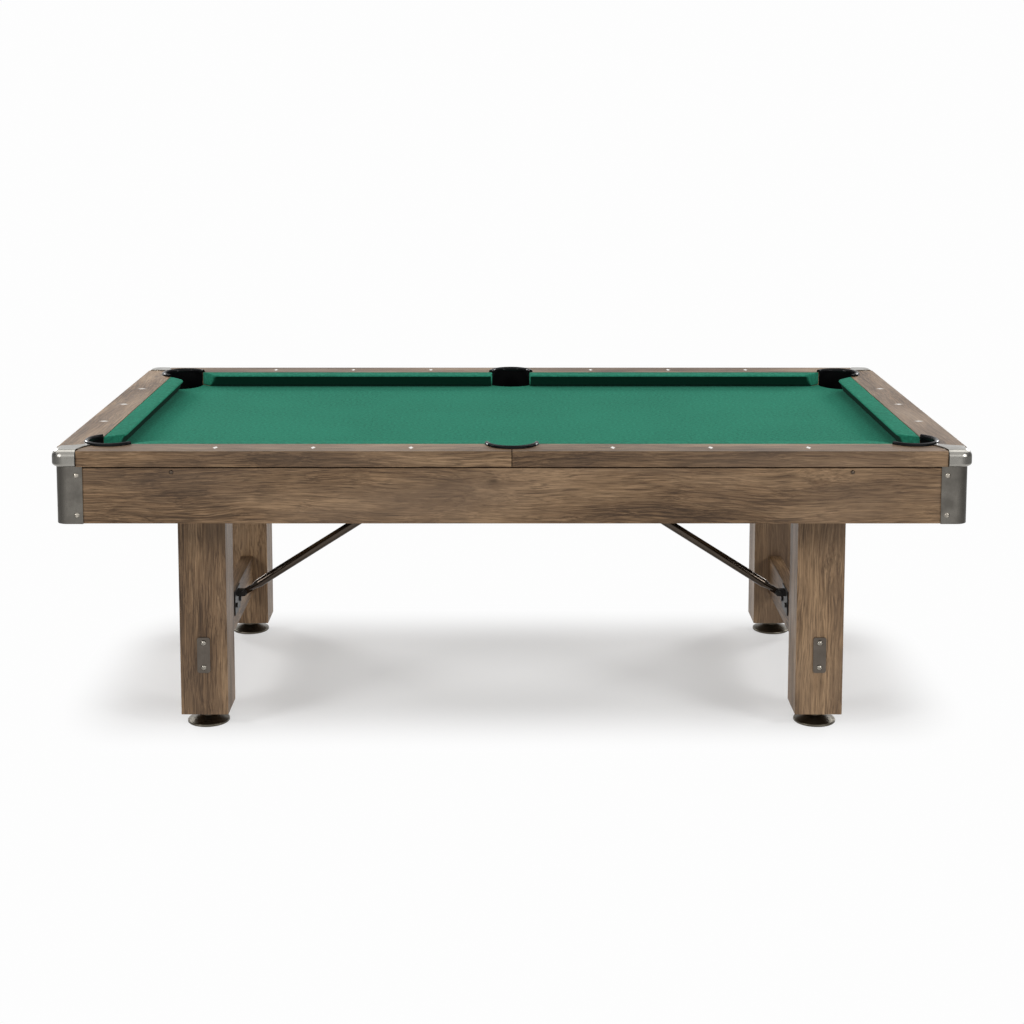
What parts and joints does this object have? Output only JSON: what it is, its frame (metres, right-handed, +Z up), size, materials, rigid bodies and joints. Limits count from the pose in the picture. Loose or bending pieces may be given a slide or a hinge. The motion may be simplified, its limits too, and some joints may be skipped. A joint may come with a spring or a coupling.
{
  "type": "pool table",
  "caption": "Pool table with a slate bed, green cloth and cushions, drop pockets, metal-capped timber rails, braced square legs and screw levelling feet.",
  "frame": {"origin": "on the floor below the centre of the table", "axes": "+X along the length of the table, +Y across it towards the back long side, +Z up"},
  "size_m": [2.324, 1.308, 0.798],
  "materials": {
    "slate": "honed",
    "bed_cloth": "woven wool",
    "cushion_cloth": "woven wool over rubber",
    "rail_timber": "satin, weathered brown",
    "apron_timber": "satin, weathered brown",
    "leg_timber": "satin, weathered brown",
    "frame_timber": "sawn, unfinished",
    "sights": "polished",
    "corner_metal": "brushed, aged pewter",
    "pocket_rim": "moulded, semi-gloss",
    "pocket_liner": "moulded",
    "screw_metal": "aged nickel",
    "leg_plate_metal": "dark bronze",
    "brace_metal": "dark bronze, semi-gloss",
    "foot_metal": "dark bronze",
    "zinc_steel": "zinc plated"
  },
  "bodies": {
    "table": {"slate_left": "slate", "slate_centre": "slate", "slate_right": "slate", "bed_cloth": "bed_cloth", "rail_front_left": "rail_timber", "rail_front_right": "rail_timber", "rail_back_left": "rail_timber", "rail_back_right": "rail_timber", "rail_left": "rail_timber", "rail_right": "rail_timber", "cushion_front_left": "cushion_cloth", "cushion_front_right": "cushion_cloth", "cushion_back_left": "cushion_cloth", "cushion_back_right": "cushion_cloth", "cushion_left": "cushion_cloth", "cushion_right": "cushion_cloth", "rail_sights": "sights", "corner_cap_front_left": "corner_metal", "corner_cap_front_right": "corner_metal", "corner_cap_back_left": "corner_metal", "corner_cap_back_right": "corner_metal", "corner_pocket_rims": "pocket_rim", "side_pocket_rims": "pocket_rim", "pocket_liner_front_left": "pocket_liner", "pocket_liner_front_right": "pocket_liner", "pocket_liner_back_left": "pocket_liner", "pocket_liner_back_right": "pocket_liner", "pocket_liner_front": "pocket_liner", "pocket_liner_back": "pocket_liner", "apron_front": "apron_timber", "apron_back": "apron_timber", "apron_left": "apron_timber", "apron_right": "apron_timber", "corner_trims": "corner_metal", "cabinet_screws": "screw_metal", "frame_panels": "frame_timber", "frame_beams": "frame_timber", "frame_leg_boards": "frame_timber", "leg_front_left": "leg_timber", "leg_front_right": "leg_timber", "leg_back_left": "leg_timber", "leg_back_right": "leg_timber", "leg_plates": "leg_plate_metal", "leg_plate_bolts": "screw_metal", "leg_stretchers": "leg_timber", "leg_bolts": "zinc_steel", "brace_rods": "brace_metal", "brace_brackets": "brace_metal", "brace_bolts": "brace_metal", "leveller_inserts": "zinc_steel", "rail_bolts": "zinc_steel", "slate_screws": "zinc_steel"},
    "foot_front_left": {"leveller_pad_front_left": "foot_metal"},
    "screw_front_left": {"leveller_stud_front_left": "zinc_steel"},
    "foot_front_right": {"leveller_pad_front_right": "foot_metal"},
    "screw_front_right": {"leveller_stud_front_right": "zinc_steel"},
    "foot_back_left": {"leveller_pad_back_left": "foot_metal"},
    "screw_back_left": {"leveller_stud_back_left": "zinc_steel"},
    "foot_back_right": {"leveller_pad_back_right": "foot_metal"},
    "screw_back_right": {"leveller_stud_back_right": "zinc_steel"}
  },
  "joints": [
    {"name": "foot_front_left_travel", "type": "slide", "parent": "table", "child": "foot_front_left", "axis": [0, 0, -1], "range_m": [0, 0.012]},
    {"name": "screw_front_left_turn", "type": "hinge", "parent": "foot_front_left", "child": "screw_front_left", "pos_m": [-0.816, -0.3995, 0.02], "axis": [0, 0, -1], "range_deg": [0, 2160]},
    {"name": "foot_front_right_travel", "type": "slide", "parent": "table", "child": "foot_front_right", "axis": [0, 0, -1], "range_m": [0, 0.012]},
    {"name": "screw_front_right_turn", "type": "hinge", "parent": "foot_front_right", "child": "screw_front_right", "pos_m": [0.816, -0.3995, 0.02], "axis": [0, 0, -1], "range_deg": [0, 2160]},
    {"name": "foot_back_left_travel", "type": "slide", "parent": "table", "child": "foot_back_left", "axis": [0, 0, -1], "range_m": [0, 0.012]},
    {"name": "screw_back_left_turn", "type": "hinge", "parent": "foot_back_left", "child": "screw_back_left", "pos_m": [-0.816, 0.3995, 0.02], "axis": [0, 0, -1], "range_deg": [0, 2160]},
    {"name": "foot_back_right_travel", "type": "slide", "parent": "table", "child": "foot_back_right", "axis": [0, 0, -1], "range_m": [0, 0.012]},
    {"name": "screw_back_right_turn", "type": "hinge", "parent": "foot_back_right", "child": "screw_back_right", "pos_m": [0.816, 0.3995, 0.02], "axis": [0, 0, -1], "range_deg": [0, 2160]}
  ],
  "couplings": [
    {"joint": "screw_front_left_turn", "follows": "foot_front_left_travel", "rad_per_m": 3141.6},
    {"joint": "screw_front_right_turn", "follows": "foot_front_right_travel", "rad_per_m": 3141.6},
    {"joint": "screw_back_left_turn", "follows": "foot_back_left_travel", "rad_per_m": 3141.6},
    {"joint": "screw_back_right_turn", "follows": "foot_back_right_travel", "rad_per_m": 3141.6}
  ]
}
